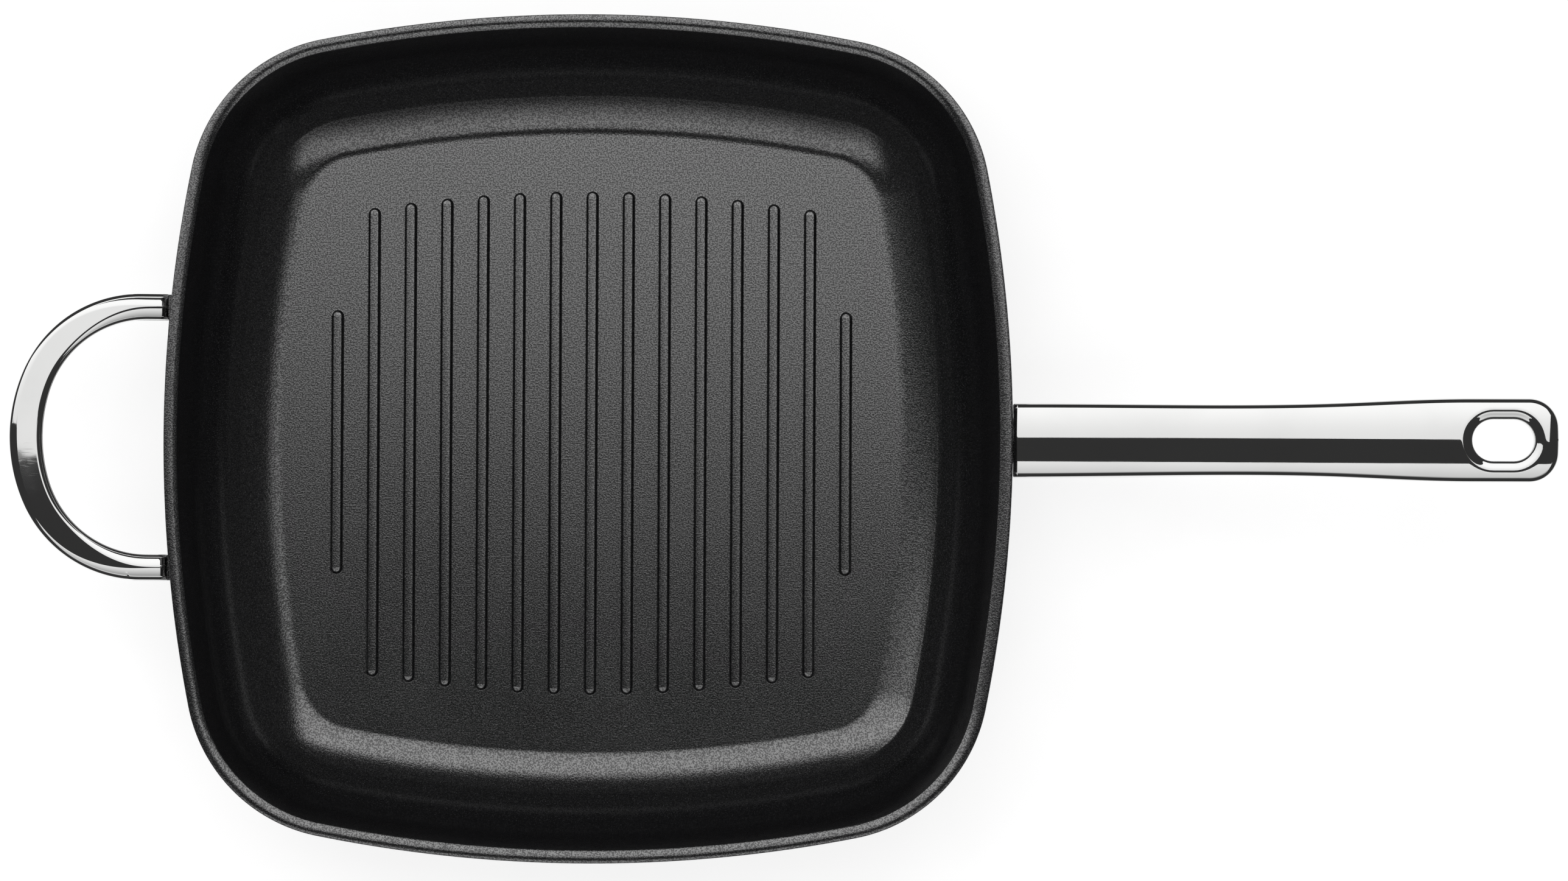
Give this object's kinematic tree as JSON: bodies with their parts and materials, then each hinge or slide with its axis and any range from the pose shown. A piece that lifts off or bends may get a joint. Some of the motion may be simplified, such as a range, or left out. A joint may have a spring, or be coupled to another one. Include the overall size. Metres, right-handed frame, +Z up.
{
  "type": "grill pan",
  "caption": "square cast aluminium grill pan with raised ribs across its floor, a two-bead rim, a long polished handle with a hanging hole and a loop helper handle opposite",
  "frame": {"origin": "centre of the base, on the surface that the pan stands on", "axes": "+X from the pan's centre along the long handle, +Y along the grill ribs, +Z up out of the pan"},
  "size_m": [0.5096, 0.28, 0.0739],
  "materials": {
    "coated_aluminium": "satin",
    "base_steel": "satin",
    "polished_steel": "polished",
    "screw_steel": "satin",
    "insert_steel": "satin"
  },
  "bodies": {
    "root": {"pan_body": "coated_aluminium", "induction_plate": "base_steel", "long_handle": "polished_steel", "long_handle_insert": "insert_steel", "long_handle_screw": "screw_steel", "loop_handle": "polished_steel", "loop_handle_screws": "screw_steel"}
  },
  "joints": []
}
